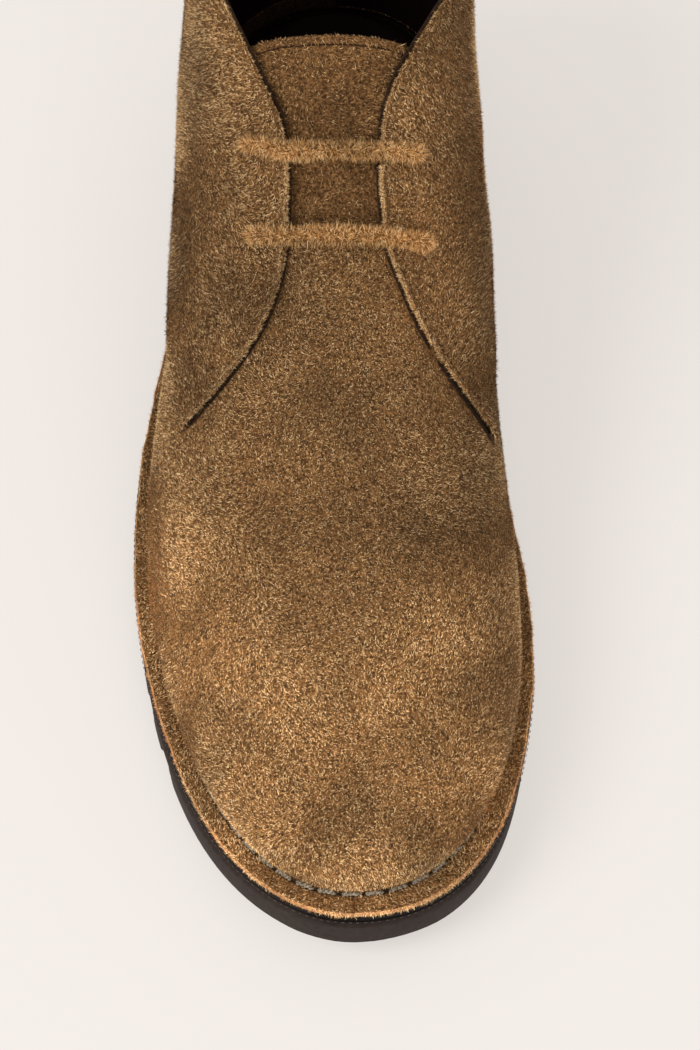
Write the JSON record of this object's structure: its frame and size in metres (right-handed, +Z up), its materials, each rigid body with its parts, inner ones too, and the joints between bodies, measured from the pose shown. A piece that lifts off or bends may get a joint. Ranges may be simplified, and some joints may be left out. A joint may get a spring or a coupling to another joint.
{
  "type": "chukka boot",
  "caption": "Tan suede chukka boot for a right foot, stitch-down make, plain laced throat over a tongue, thin dark midsole and lugged brown rubber sole with a heel",
  "frame": {"origin": "the centre of the bounding box in plan, on the ground under the sole", "axes": "+Z up from the ground; -Y towards the toe, so +Y towards the heel along the boot's length; +X towards the big-toe (inner) side"},
  "size_m": [0.1074, 0.291, 0.1332],
  "materials": {
    "rubber": "matte",
    "midsole_rubber": "matte",
    "lining": "matte",
    "suede": "matte",
    "suede_tongue": "matte",
    "lace": "matte"
  },
  "bodies": {
    "root": {"outsole": "rubber", "heel": "rubber", "midsole": "midsole_rubber", "insole": "lining", "upper": "suede", "tongue": "suede_tongue", "lace": "lace"}
  },
  "joints": []
}
